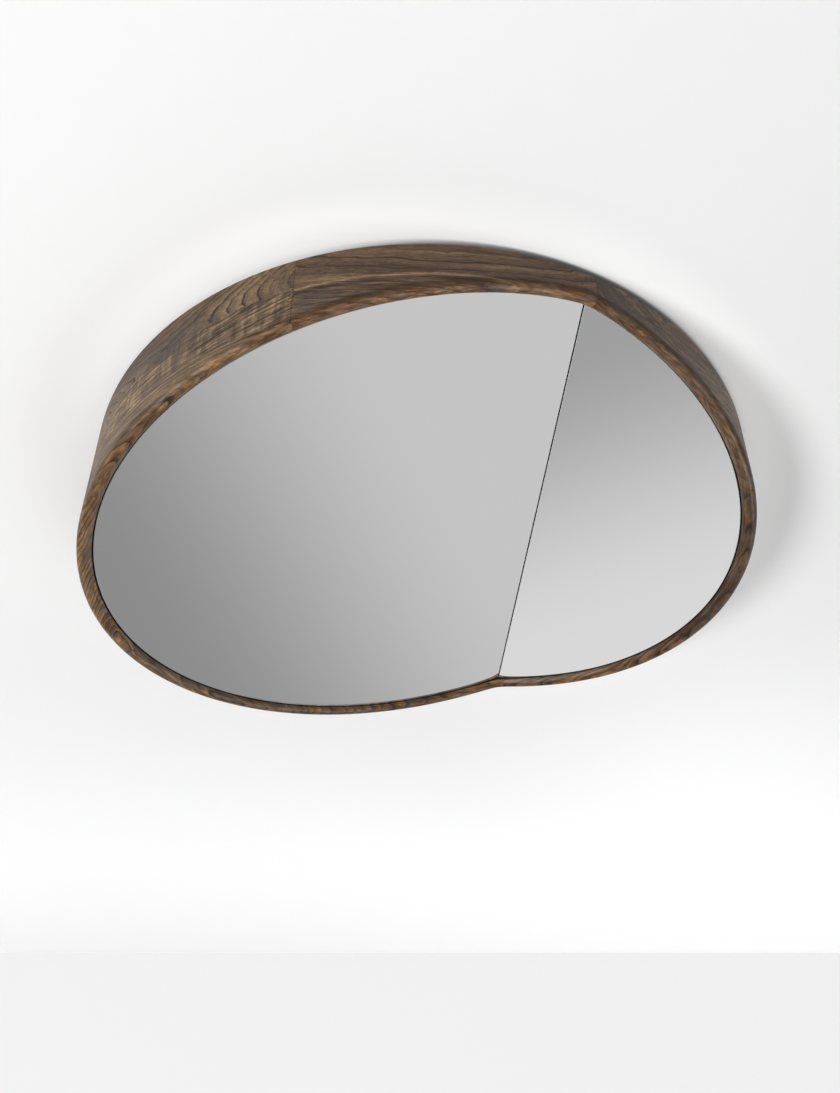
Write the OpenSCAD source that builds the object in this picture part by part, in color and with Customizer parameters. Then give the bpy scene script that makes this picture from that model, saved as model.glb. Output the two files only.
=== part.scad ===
/* [Frame] */
// Outer diameter of the round timber frame
frame_d = 900; // [600:10:1200]
// Thickness of the frame wall, which is also the width of its front edge
wall_t = 19; // [16:0.5:30]
// Depth of the frame where its two front planes meet, from its back edge
fold_depth = 35.5; // [33:0.5:70]
// Distance from the frame's centre to the fold line
fold_offset = 159; // [80:1:260]
// Lean of the fold line away from upright, its top going right
fold_lean = 4.1; // [0:0.1:20]
// How far the crest is eased where the two front planes meet
fold_ease = 5; // [1:0.5:12]
// Tilt of the left pane and of the front edge beside it
tilt_left = 12.1; // [6:0.1:15]
// Tilt of the right pane and of the front edge beside it
tilt_right = 13.6; // [6:0.1:16]

/* [Mirror panes] */
// Thickness of the silvered glass
glass_t = 4; // [3:0.5:6]
// Depth of the glass below the crest of the front edge
glass_drop = 8; // [4:0.5:12]
// Open joint between the two panes on the fold line
fold_gap = 1.5; // [0.5:0.1:3]
// Open joint round the panes and boards, inside the frame
edge_gap = 1.5; // [1:0.1:4]
// Thickness of the foam tape under the glass
tape_t = 1.5; // [1:0.1:3]
// Width of one strip of foam tape
tape_w = 25; // [12:1:40]
// Distance from one strip of foam tape to the next
tape_pitch = 95; // [70:1:140]

/* [Inner carcass] */
// Thickness of the tilted board under each pane
board_t = 9; // [6:0.5:12]
// Thickness of the flat back panel
panel_t = 6; // [4:0.5:9]
// Width of the step in the frame that holds the back panel
rebate_w = 11; // [9:0.5:14]
// Clearance round the back panel in that step
panel_clear = 0.3; // [0.1:0.1:1]
// Width of the batten under the fold
batten_w = 50; // [30:1:80]
// Thickness of a rib
rib_t = 12; // [9:1:18]
// Distance of the upper and lower ribs in from the frame's outside, at its centre line
rib_inset = 250; // [225:5:350]
// Clearance of ribs, batten and blocks from the frame wall
carcass_clear = 0.5; // [0.2:0.1:2]

/* [Loose tenons] */
// Thickness of a loose tenon
tenon_t = 6; // [4:0.5:8]
// Width of a loose tenon
tenon_w = 16; // [12:1:18]
// Length of a loose tenon, half in each block
tenon_l = 40; // [24:2:60]
// Distance between loose tenons in one joint
tenon_pitch = 36; // [24:2:60]
// Clearance of a loose tenon in its mortise
tenon_clear = 0.1; // [0.05:0.05:0.3]

/* [Hanger] */
// Distance of the wall screws below the top of the frame
hang_drop = 190; // [170:5:205]
// Length of the two interlocking hanger bars
bar_l = 240; // [160:10:240]
// Metal thickness of the hanger bars
bar_t = 2.8; // [2:0.1:4]
// Total play between the two interlocked bars
bar_play = 0.4; // [0.2:0.1:1]
// Clearance between the wall bar and the back panel
bar_clear = 4; // [0:0.5:8]
// Height of the screwed flange of each bar
flange_h = 22; // [18:1:30]
// Height of the hooked tongue of each bar
tongue_h = 12; // [8:1:18]
// Distance between the two wall screws
wall_screw_pitch = 200; // [100:10:210]
// Diameter of the wall screw holes
wall_screw_d = 5; // [4:0.5:6]
// Distance between the four screws of the mirror's own bar
bar_screw_pitch = 60; // [40:5:65]
// Thickness of the timber block behind the mirror's bar
hanger_block_t = 14; // [10:1:16]
// Diameter of a rubber bumper
bumper_d = 18; // [12:1:30]
// Distance of the bumpers in from the frame's outside
bumper_inset = 50; // [40:5:150]
// Angle of each bumper from straight down
bumper_angle = 40; // [20:1:70]

/* [Screws] */
// Shank diameter of the carcass screws
screw_d = 3.5; // [3:0.1:5]
// Head diameter of the carcass screws
screw_head_d = 7; // [6:0.1:9]
// Length of the carcass screws
screw_l = 22; // [16:1:30]
// Shank diameter of the screws in the mirror's own bar
bar_screw_d = 4; // [3:0.1:5]
// Head diameter of the screws in the mirror's own bar
bar_screw_head_d = 7.5; // [6:0.1:9]
// Length of the screws in the mirror's own bar
bar_screw_l = 20; // [12:1:22]
// Clearance round a screw in its hole
screw_clear = 0.15; // [0.1:0.05:0.4]
// Distance of a rib's first screw from the fold line
rib_screw_start = 90; // [60:5:120]
// Distance between screws along a rib
rib_screw_pitch = 150; // [100:5:180]

/* [Hidden] */

// Sides of the fold, seen from the front, and rows of ribs
LEFT = -1;
RIGHT = 1;
TOP = 1;
MIDDLE = 0;
BOTTOM = -1;

// The frame is a ring of equal blocks, and two of its joints stand at the ends of the fold
block_count = 8;
block_angle = 360 / block_count;
first_joint = 1.5 * block_angle - fold_lean;
block_steps = 30;
nose_steps = 10;

outer_r = frame_d / 2;
inner_r = outer_r - wall_t;
nose_r = wall_t / 2;
pane_r = inner_r - edge_gap;
carcass_r = inner_r - carcass_clear;
panel_r = inner_r + rebate_w - panel_clear;
rib_pitch = outer_r - rib_inset;
hang_height = outer_r - hang_drop;
bumper_r = outer_r - bumper_inset;

// Depths below the crest plane, square to the pane
board_top = glass_drop + glass_t + tape_t;
board_under = board_top + board_t;

// The interlocked bars hold the frame's back edge this far off the wall
standoff = 2 * bar_t + bar_play + bar_clear;
bar_seat = flange_h / 2 + tongue_h;
bar_screw_height = bar_seat + bar_t + flange_h / 2;
tongue_end_play = 0.5;
block_margin = 11;
hanger_block_h = flange_h + 2 * block_margin;

tape_inset = 15;
tenon_first = panel_t + 14;
tenon_cover = 6;
rib_screw_margin = 25;
bumper_angles = [-90 - bumper_angle, -90 + bumper_angle];
far = frame_d;
round_fn = 180;
small_fn = 32;

function tilt(side) = side < 0 ? tilt_left : tilt_right;

// Point on the ring at radius r and angle a
function on_ring(r, a) = [r * cos(a), r * sin(a)];

// Distance of a point beyond the fold line, negative on the left
function across(p) = p[0] * cos(fold_lean) - p[1] * sin(fold_lean) - fold_offset;

// Depth of the crest: the higher of the two front planes, eased where they meet
function crest(p) = let (
        s = across(p),
        left = fold_depth - s * tan(tilt_left),
        right = fold_depth + s * tan(tilt_right)
    ) (left + right) / 2 + sqrt(pow(left - right, 2) + pow(fold_ease, 2)) / 2;

// Height of a board's underside at distance x from the fold line
function under(side, x) = fold_depth + x * tan(tilt(side)) - board_under / cos(tilt(side));

// How far past the tilting line two plates at this depth run before they meet
function meet(depth) = depth * tan((tilt_left + tilt_right) / 2);

// Length of a rib from the fold line to the frame
function rib_reach(side, row) = sqrt(pow(inner_r, 2) - pow(row * rib_pitch, 2)) - side * fold_offset;

// Number of copies at this pitch between a start and an end
function fits(start, end, pitch) = max(0, floor((end - start) / pitch) + 1);

// Section of the frame wall at angle a: outer foot, round nose, inner foot and the panel's step
function wall_section(a) = concat(
    [[outer_r, 0]],
    [for (i = [0 : nose_steps]) let (
            t = 180 * i / nose_steps,
            r = outer_r - nose_r * (1 - cos(t))
        ) [r, crest(on_ring(r, a)) - nose_r * (1 - sin(t))]],
    [[inner_r, panel_t], [inner_r + rebate_w, panel_t], [inner_r + rebate_w, 0]]);

section_size = nose_steps + 5;

// Heights of the loose tenons in the joint at angle a
function tenon_heights(a) = let (
        top = crest(on_ring(outer_r - nose_r, a)) - tenon_cover - tenon_w / 2,
        n = max(1, fits(tenon_first, top, tenon_pitch))
    ) [for (i = [0 : n - 1]) tenon_first + i * tenon_pitch];

// From the frame's own plan, drawn flat on its back edge, to its place on the wall
module hung() {
    translate([0, -standoff, -hang_height]) rotate([90, 0, 0]) children();
}

// X across the fold to the right, Y up along it
module at_fold() {
    rotate([0, 0, -fold_lean]) translate([fold_offset, 0, 0]) children();
}

// The crest plane of one side, with Z out of it and X = 0 on the fold
module side_plane(side) {
    at_fold() translate([0, 0, fold_depth]) rotate([0, -side * tilt(side), 0]) children();
}

// A sheet parallel to one front plane, cut at the fold and round the inside of the frame
module sheet(side, depth, thick, gap, r) {
    run = far + meet(depth) - gap / 2;
    intersection() {
        side_plane(side)
            translate([side < 0 ? -far : far - run, -far, -depth - thick])
                cube([run, 2 * far, thick]);
        cylinder(r = r, h = far, $fn = round_fn);
    }
}

// A countersunk wood screw with its head in the plane Z = 0, pointing down
module screw(d, head_d, l) {
    rotate_extrude($fn = small_fn)
        polygon([[0, 0], [head_d / 2, 0], [d / 2, -(head_d - d) / 2], [d / 2, d - l], [0, -l]]);
}

// The hole for that screw, open above its head
module screw_hole(d, head_d, l) {
    rotate_extrude($fn = small_fn)
        polygon([
            [0, 1], [head_d / 2 + screw_clear, 1], [head_d / 2 + screw_clear, 0],
            [d / 2 + screw_clear, -(head_d - d) / 2], [d / 2 + screw_clear, -l - screw_clear],
            [0, -l - screw_clear]
        ]);
}

module carcass_screw() {
    screw(screw_d, screw_head_d, screw_l);
}

module carcass_screw_hole() {
    screw_hole(screw_d, screw_head_d, screw_l);
}

// Places of the screws that hold a board to one rib
module at_board_screws(side, row) {
    n = fits(rib_screw_start, rib_reach(side, row) - rib_screw_margin, rib_screw_pitch);
    side_plane(side) for (i = [0 : 1 : n - 1])
        translate([side * (rib_screw_start + i * rib_screw_pitch), row * rib_pitch, -board_top])
            children();
}

// Places of the screws that hold one rib to the back panel, halfway between the others
module at_rib_screws(side, row) {
    start = rib_screw_start + rib_screw_pitch / 2;
    n = fits(start, rib_reach(side, row) - rib_screw_margin, rib_screw_pitch);
    at_fold() for (i = [0 : 1 : n - 1])
        translate([side * (start + i * rib_screw_pitch), row * rib_pitch, 0])
            mirror([0, 0, 1]) children();
}

// Places of the two screws that hold the back panel to one frame block
module at_block_screws(number) {
    for (part = [0.25, 0.75]) rotate(first_joint + (number - 1 + part) * block_angle)
        translate([inner_r + rebate_w / 2, 0, 0]) mirror([0, 0, 1]) children();
}

// Places of the four screws in the mirror's own bar
module at_bar_screws() {
    for (i = [-1.5 : 1 : 1.5])
        translate([i * bar_screw_pitch, hang_height + bar_screw_height, -bar_t])
            mirror([0, 0, 1]) children();
}

// The loose tenons of one joint, grown by a clearance for their mortises
module tenons(joint, grow) {
    a = first_joint + joint * block_angle;
    size = [tenon_t, tenon_l, tenon_w] + [2 * grow, 2 * grow, 2 * grow];
    for (z = tenon_heights(a)) rotate(a) translate([outer_r - nose_r, 0, z]) cube(size, center = true);
}

// One timber block of the ring: its wall section carried along the arc
module frame_block(number, tint) {
    start = first_joint + (number - 1) * block_angle;
    points = [for (i = [0 : block_steps]) let (a = start + i * block_angle / block_steps)
        for (p = wall_section(a)) [p[0] * cos(a), p[0] * sin(a), p[1]]];
    sides = [for (i = [0 : block_steps - 1]) for (j = [0 : section_size - 1]) let (
            k = (j + 1) % section_size,
            near = i * section_size,
            next = near + section_size
        ) each [[near + j, near + k, next + k], [near + j, next + k, next + j]]];
    first_cap = [for (j = [section_size - 1 : -1 : 0]) j];
    last_cap = [for (j = [0 : section_size - 1]) block_steps * section_size + j];
    color(tint) hung() difference() {
        polyhedron(points, concat(sides, [first_cap, last_cap]), convexity = 6);
        tenons(number - 1, tenon_clear);
        tenons(number, tenon_clear);
        at_block_screws(number) carcass_screw_hole();
    }
}

module frame_block_1() {
    frame_block(1, "#6b5746");
}

module frame_block_2() {
    frame_block(2, "#5f4c3d");
}

module frame_block_3() {
    frame_block(3, "#735c48");
}

module frame_block_4() {
    frame_block(4, "#66513f");
}

module frame_block_5() {
    frame_block(5, "#6f5843");
}

module frame_block_6() {
    frame_block(6, "#634e3c");
}

module frame_block_7() {
    frame_block(7, "#6d5641");
}

module frame_block_8() {
    frame_block(8, "#4f453c");
}

module loose_tenons() {
    color("#c9a878") hung() for (joint = [0 : block_count - 1]) tenons(joint, 0);
}

module back_panel() {
    color("#c8b08a") hung() difference() {
        cylinder(r = panel_r, h = panel_t, $fn = round_fn);
        for (number = [1 : block_count]) at_block_screws(number) carcass_screw_hole();
        for (side = [LEFT, RIGHT], row = [BOTTOM : TOP]) at_rib_screws(side, row) carcass_screw_hole();
        at_bar_screws() screw_hole(bar_screw_d, bar_screw_head_d, bar_screw_l);
    }
}

// The two boards rest on its hollowed top
module fold_batten() {
    half = batten_w / 2;
    valley_x = (board_under / cos(tilt_right) - board_under / cos(tilt_left))
        / (tan(tilt_left) + tan(tilt_right));
    color("#bf9d6c") hung() intersection() {
        at_fold() translate([0, far, 0]) rotate([90, 0, 0]) linear_extrude(2 * far)
            polygon([
                [-half, panel_t], [half, panel_t], [half, under(RIGHT, half)],
                [valley_x, under(RIGHT, valley_x)], [-half, under(LEFT, half)]
            ]);
        cylinder(r = carcass_r, h = far, $fn = round_fn);
    }
}

// An upright rib from the fold batten to the frame, cut to the board's slope
module rib(side, row) {
    near = batten_w / 2;
    reach = inner_r - side * fold_offset;
    color("#c4a678") hung() difference() {
        intersection() {
            at_fold() translate([0, row * rib_pitch + rib_t / 2, 0]) rotate([90, 0, 0])
                linear_extrude(rib_t) polygon([
                    [side * near, panel_t], [side * reach, panel_t],
                    [side * reach, under(side, reach)], [side * near, under(side, near)]
                ]);
            cylinder(r = carcass_r, h = far, $fn = round_fn);
        }
        at_board_screws(side, row) carcass_screw_hole();
        at_rib_screws(side, row) carcass_screw_hole();
    }
}

module left_rib_top() {
    rib(LEFT, TOP);
}

module left_rib_middle() {
    rib(LEFT, MIDDLE);
}

module left_rib_bottom() {
    rib(LEFT, BOTTOM);
}

module right_rib_top() {
    rib(RIGHT, TOP);
}

module right_rib_middle() {
    rib(RIGHT, MIDDLE);
}

module right_rib_bottom() {
    rib(RIGHT, BOTTOM);
}

module board(side) {
    color("#2b2622") hung() difference() {
        sheet(side, board_top, board_t, fold_gap, pane_r);
        for (row = [BOTTOM : TOP]) at_board_screws(side, row) carcass_screw_hole();
    }
}

module left_board() {
    board(LEFT);
}

module right_board() {
    board(RIGHT);
}

// Strips of foam tape, parallel to the fold
module tape(side) {
    n = fits(tape_pitch / 2, pane_r - side * fold_offset - 2 * tape_inset, tape_pitch);
    color("#d8d8d4") hung() intersection() {
        side_plane(side) for (i = [0 : n - 1])
            translate([side * (i + 0.5) * tape_pitch - tape_w / 2, -far, -board_top])
                cube([tape_w, 2 * far, tape_t]);
        cylinder(r = pane_r - tape_inset, h = far, $fn = round_fn);
    }
}

module left_tape() {
    tape(LEFT);
}

module right_tape() {
    tape(RIGHT);
}

module mirror_pane(side) {
    color("#b9bcbd") hung() sheet(side, glass_drop, glass_t, fold_gap, pane_r);
}

module left_mirror() {
    mirror_pane(LEFT);
}

module right_mirror() {
    mirror_pane(RIGHT);
}

// Timber behind the back panel for the screws of the mirror's bar
module hanger_block() {
    color("#bf9d6c") hung() difference() {
        translate([-bar_l / 2, hang_height + bar_screw_height - hanger_block_h / 2, panel_t])
            cube([bar_l, hanger_block_h, hanger_block_t]);
        at_bar_screws() screw_hole(bar_screw_d, bar_screw_head_d, bar_screw_l);
    }
}

// A bent bar along X, from a section drawn as [up, out of the wall]
module bent_bar(section) {
    translate([-bar_l / 2, hang_height, -standoff]) rotate([90, 0, 90])
        linear_extrude(bar_l) polygon(section);
}

// The mirror's bar, whose tongue drops behind the tongue of the wall bar
module hanger_bar() {
    tongue_back = bar_play / 2;
    color("#b4b7ba") hung() difference() {
        bent_bar([
            [flange_h / 2 + tongue_end_play, tongue_back],
            [bar_seat + bar_t, tongue_back],
            [bar_seat + bar_t, standoff - bar_t],
            [bar_seat + bar_t + flange_h, standoff - bar_t],
            [bar_seat + bar_t + flange_h, standoff],
            [bar_seat, standoff],
            [bar_seat, bar_t + tongue_back],
            [flange_h / 2 + tongue_end_play, bar_t + tongue_back]
        ]);
        at_bar_screws() screw_hole(bar_screw_d, bar_screw_head_d, bar_screw_l);
    }
}

// The bar that is screwed to the wall
module wall_bar() {
    top = flange_h / 2;
    tongue_front = 2 * bar_t + bar_play;
    color("#a9adb0") hung() difference() {
        bent_bar([
            [-top, 0], [top, 0], [top, bar_t + bar_play], [bar_seat, bar_t + bar_play],
            [bar_seat, tongue_front], [top - bar_t, tongue_front], [top - bar_t, bar_t], [-top, bar_t]
        ]);
        for (side = [LEFT, RIGHT])
            translate([side * wall_screw_pitch / 2, hang_height, -standoff - 1])
                cylinder(d = wall_screw_d, h = bar_t + 2, $fn = small_fn);
    }
}

module board_screws() {
    color("#c7b26a") hung() for (side = [LEFT, RIGHT], row = [BOTTOM : TOP])
        at_board_screws(side, row) carcass_screw();
}

module panel_screws() {
    color("#c7b26a") hung() {
        for (number = [1 : block_count]) at_block_screws(number) carcass_screw();
        for (side = [LEFT, RIGHT], row = [BOTTOM : TOP]) at_rib_screws(side, row) carcass_screw();
    }
}

module hanger_screws() {
    color("#9a9da0") hung() at_bar_screws() screw(bar_screw_d, bar_screw_head_d, bar_screw_l);
}

module wall_bumpers() {
    color("#2a2a2a") hung() for (a = bumper_angles)
        rotate(a) translate([bumper_r, 0, -standoff]) cylinder(d = bumper_d, h = standoff, $fn = small_fn);
}

frame_block_1();
frame_block_2();
frame_block_3();
frame_block_4();
frame_block_5();
frame_block_6();
frame_block_7();
frame_block_8();
loose_tenons();
back_panel();
fold_batten();
left_rib_top();
left_rib_middle();
left_rib_bottom();
right_rib_top();
right_rib_middle();
right_rib_bottom();
left_board();
right_board();
left_tape();
right_tape();
left_mirror();
right_mirror();
hanger_block();
hanger_bar();
wall_bar();
board_screws();
panel_screws();
hanger_screws();
wall_bumpers();
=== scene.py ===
import bpy
import math
import numpy as np
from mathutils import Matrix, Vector


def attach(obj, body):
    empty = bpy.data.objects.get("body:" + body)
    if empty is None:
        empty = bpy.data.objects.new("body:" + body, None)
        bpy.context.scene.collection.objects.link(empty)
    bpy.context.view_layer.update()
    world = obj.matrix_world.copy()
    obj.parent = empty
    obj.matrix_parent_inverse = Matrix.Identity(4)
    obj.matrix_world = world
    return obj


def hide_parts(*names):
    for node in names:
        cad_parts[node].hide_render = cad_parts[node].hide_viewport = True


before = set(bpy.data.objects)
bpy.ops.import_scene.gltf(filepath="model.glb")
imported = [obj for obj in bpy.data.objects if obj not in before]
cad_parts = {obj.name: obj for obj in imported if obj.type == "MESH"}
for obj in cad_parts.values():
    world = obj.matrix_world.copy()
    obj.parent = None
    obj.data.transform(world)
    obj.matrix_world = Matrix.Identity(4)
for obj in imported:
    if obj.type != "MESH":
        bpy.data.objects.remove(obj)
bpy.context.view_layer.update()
print("frame loaded")


# shader maths
class Wire:
    # One output of a shader node. Arithmetic on wires adds Math nodes.
    def __init__(self, tree, link=None):
        self.tree = tree
        self.link = link

    def node(self, kind, settings=(), values=(), output=0):
        # Settings first, then what its sockets get: a number, a colour or another wire
        made = self.tree.nodes.new(kind)
        settings = dict(settings)
        stops = settings.pop("stops", None)
        for name, value in settings.items():
            setattr(made, name, value)
        if stops:
            ramp = made.color_ramp
            for i, (place, colour) in enumerate(stops):
                stop = ramp.elements[i] if i < 2 else ramp.elements.new(place)
                stop.position = place
                stop.color = (*colour, 1)
        for name, value in dict(values).items():
            socket = made.inputs[name]
            if isinstance(value, Wire):
                self.tree.links.new(value.link, socket)
            else:
                socket.default_value = value
        return Wire(self.tree, made.outputs[output])

    def math(self, operation, first, second=0.0):
        return self.node("ShaderNodeMath", {"operation": operation}, {0: first, 1: second})

    def __add__(self, other):
        return self.math("ADD", self, other)

    def __radd__(self, other):
        return self.math("ADD", other, self)

    def __sub__(self, other):
        return self.math("SUBTRACT", self, other)

    def __rsub__(self, other):
        return self.math("SUBTRACT", other, self)

    def __mul__(self, other):
        return self.math("MULTIPLY", self, other)

    def __rmul__(self, other):
        return self.math("MULTIPLY", other, self)

    def __truediv__(self, other):
        return self.math("DIVIDE", self, other)

    def __pow__(self, other):
        return self.math("POWER", self, other)

    def __gt__(self, other):
        return self.math("GREATER_THAN", self, other)

    def __abs__(self):
        return self.math("ABSOLUTE", self)

    def floor(self):
        return self.math("FLOOR", self)

    def fract(self):
        return self.math("FRACT", self)

    def root(self):
        return self.math("SQRT", self)

    def atLeast(self, low):
        return self.math("MAXIMUM", self, low)

    def rise(self, low, high):
        # 0 below low, 1 above high, smooth between
        settings = {"interpolation_type": "SMOOTHSTEP"}
        return self.node("ShaderNodeMapRange", settings, {0: self, 1: low, 2: high})

    def near(self, middle, width):
        # 1 at middle, falling smoothly to 0 at that distance on either side
        return 1 - abs(self - middle).rise(0.0, width)

    def xyz(self):
        return [self.node("ShaderNodeSeparateXYZ", (), {0: self}, axis) for axis in "XYZ"]

    def joined(self, x, y, z):
        return self.node("ShaderNodeCombineXYZ", (), {0: x, 1: y, 2: z})

    def times(self, x, y, z):
        return self.node("ShaderNodeVectorMath", {"operation": "MULTIPLY"}, {0: self, 1: (x, y, z)})

    def sized(self, x, y, z):
        # The same place counted in features of this size
        return self.times(1 / x, 1 / y, 1 / z)

    def shifted(self, x, y, z):
        return self.node("ShaderNodeVectorMath", {"operation": "ADD"}, {0: self, 1: (x, y, z)})

    def noise(self, detail=2.0, rough=0.5, twist=0.0):
        # Soft noise with features about one unit apart, from 0 to 1
        return self.node("ShaderNodeTexNoise", (), {
            "Vector": self, "Scale": 1.0, "Detail": detail, "Roughness": rough, "Distortion": twist})

    def chance(self, seed):
        # One random number for each whole number
        return self.node("ShaderNodeTexWhiteNoise", {"noise_dimensions": "1D"}, {"W": self + seed})

    def dot(self, direction):
        settings = {"operation": "DOT_PRODUCT"}
        return self.node("ShaderNodeVectorMath", settings, {0: self, 1: direction}, "Value")

    def mix(self, first, second):
        # From the first colour at 0 to the second at 1
        return self.node("ShaderNodeMix", {"data_type": "RGBA"}, {0: self, 6: first, 7: second}, 2)

    def tinted(self, colour):
        settings = {"data_type": "RGBA", "blend_type": "MULTIPLY"}
        return self.node("ShaderNodeMix", settings, {0: 1.0, 6: self, 7: colour}, 2)

    def grey(self):
        return self.joined(self, self, self)


def paint(red, green, blue):
    # A colour given as it looks on screen, from 0 to 255, made linear
    def linear(c):
        c = c / 255
        return c / 12.92 if c <= 0.04045 else ((c + 0.055) / 1.055) ** 2.4
    return (linear(red), linear(green), linear(blue), 1)


def newMaterial(name, **fixed):
    # A material, a wire to start its nodes from and its surface shader
    material = bpy.data.materials.new(name)
    material.use_nodes = True
    surface = material.node_tree.nodes["Principled BSDF"]
    for socket, value in fixed.items():
        surface.inputs[socket.replace("_", " ")].default_value = value
    return material, Wire(material.node_tree), surface


def plug(surface, **wires):
    for name, wire in wires.items():
        wire.tree.links.new(wire.link, surface.inputs[name.replace("_", " ")])


def relief(height, depth, strength=1.0):
    # Bump from a height of 0 to 1, depth in metres
    return height.node("ShaderNodeBump", (), {"Strength": strength, "Distance": depth, "Height": height})


def objectPlace(pen):
    return pen.node("ShaderNodeTexCoord", (), (), "Object")


def mark(pen, name):
    # A number that the mesh carries at each point
    return pen.node("ShaderNodeAttribute", {"attribute_name": name}, (), "Fac")


def rays(pen, kind):
    return pen.node("ShaderNodeLightPath", (), (), kind)


# mesh building
def skin(name, loops, replaced, materials, faceSlots=None, marks=None, sharp=30):
    # loops[s, i, j] is point j of loop i on shell s. Quads join each loop to the next one, and one flat
    # face closes each end, so every shell is closed. faceSlots gives the material of the first end, of
    # each row of quads and of the last end.
    shells, rows, points = loops.shape[:3]
    index = np.arange(shells * rows * points).reshape(shells, rows, points)
    beside = np.roll(index, -1, axis=2)
    quads = np.stack([index[:, :-1], beside[:, :-1], beside[:, 1:], index[:, 1:]], axis=-1)
    where = loops.reshape(-1, 3)
    middle = loops.mean(axis=(1, 2)).reshape(shells, 1, 1, 3)
    corner = [where[quads[..., i]] - middle for i in range(3)]
    turned = np.einsum("...i,...i", corner[0], np.cross(corner[1], corner[2])).sum() < 0
    quads = quads.reshape(-1, 4)
    first, last = index[:, 0, ::-1], index[:, -1]
    if turned:
        quads, first, last = quads[:, ::-1], first[:, ::-1], last[:, ::-1]
    mesh = bpy.data.meshes.new(name)
    mesh.from_pydata(where.tolist(), [], quads.tolist() + first.tolist() + last.tolist())
    if faceSlots is not None:
        row = np.repeat(faceSlots[1:-1], points)
        ends = np.repeat([faceSlots[0], faceSlots[-1]], shells)
        mesh.polygons.foreach_set("material_index", np.concatenate([np.tile(row, shells), ends]))
    for markName, values in (marks or {}).items():
        mesh.attributes.new(markName, "FLOAT", "POINT").data.foreach_set("value", values.ravel())
    mesh.shade_smooth()
    mesh.set_sharp_from_angle(angle=math.radians(sharp))
    mesh.validate()
    for material in materials:
        mesh.materials.append(material)
    piece = bpy.data.objects.new(name, mesh)
    bpy.context.scene.collection.objects.link(piece)
    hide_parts(replaced)
    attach(piece, "root")


# shape of the frame
# Metres and degrees. The ring's plan is x and up from its centre, which hangs below the wall's screws by
# centreDrop. Height is measured from its back edge, which the standoff keeps off the wall.
ring = {
    "outer": 0.44995, "inner": 0.431, "standoff": 0.010, "centreDrop": 0.260,
    "foldDepth": 0.0355, "foldOffset": 0.159, "lean": 4.1, "ease": 0.005,
    "tiltLeft": 12.1, "tiltRight": 13.6, "panelStep": 0.011, "panelDepth": 0.006,
    "blocks": 8, "firstJoint": 63.4, "turn": 45.0,
}


def hung(x, up, height):
    # From the plan and height of the ring to its place on the wall
    return np.stack([x, -ring["standoff"] - height, up - ring["centreDrop"]], axis=-1)


def across(x, up):
    # Distance beyond the fold line: the plan point turned by the lean, less the fold's offset
    lean = math.radians(ring["lean"])
    return x * math.cos(lean) - up * math.sin(lean) - ring["foldOffset"]


def crestHeight(x, up):
    # The higher of two planes through the fold line, eased where they meet: the mean of both plus half
    # the root of their squared difference and the squared ease
    s = across(x, up)
    left = ring["foldDepth"] - s * math.tan(math.radians(ring["tiltLeft"]))
    right = ring["foldDepth"] + s * math.tan(math.radians(ring["tiltRight"]))
    return (left + right) / 2 + np.sqrt((left - right) ** 2 + ring["ease"] ** 2) / 2


# walnut
# tint: what the block's colour is multiplied by, and light: what its tone gains
# ripple: strength of the bars across the grain
# sap: strength of the pale line at the first glue line, with a dark one beside it
# nose: what the colour is also multiplied by on the rounded front edge, a warmer tint, partly the wood's
# own colour and partly painted light for the light the rounding gets, and darker on the blocks to the
# right, away from the key lamp, which is painted shade; oval: how far the figure follows the rim there;
# and band: strength of the dark band where the rounding starts, painted shade broken up by the grain
# grain: one row for each glued layer, from the back edge forwards, in the order of grainColumns and in
# millimetres of the block's own plank: distance of the pith from the ring's centre, its depth, its drift
# outwards and forwards for each millimetre along the block, ring width, share of smoky colour, strength
# of the dark ring lines, strength of the fine light and dark streaks, and how much the rings wave
# stains: smoky patches, as place along the block and depth, half length, half depth, lean and strength
grainColumns = (
    "pith", "pithDepth", "driftOut", "driftForward", "width", "smoke", "lines", "streaks", "waves")
walnutTones = {
    "ramp": [(0.0, (34, 25, 20)), (0.22, (60, 45, 35)), (0.42, (90, 70, 54)), (0.60, (118, 94, 72)),
             (0.80, (156, 128, 97)), (1.0, (194, 164, 126))],
    "smoke": paint(66, 61, 58), "pore": paint(40, 30, 25), "glue": paint(34, 26, 22),
    "band": paint(38, 25, 17), "rebate": paint(22, 18, 16),
    "layer": 53.0,  # millimetres of depth in each glued layer
    "base": 0.56, "streak": 0.24, "strand": 0.15, "fine": 0.62, "bands": 0.7, "ripple": 0.75,
    "coatRough": 0.48, "coatLow": 0.02, "coatNose": 0.18, "coatShine": 0.56, "relief": 0.00018,
}
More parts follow.
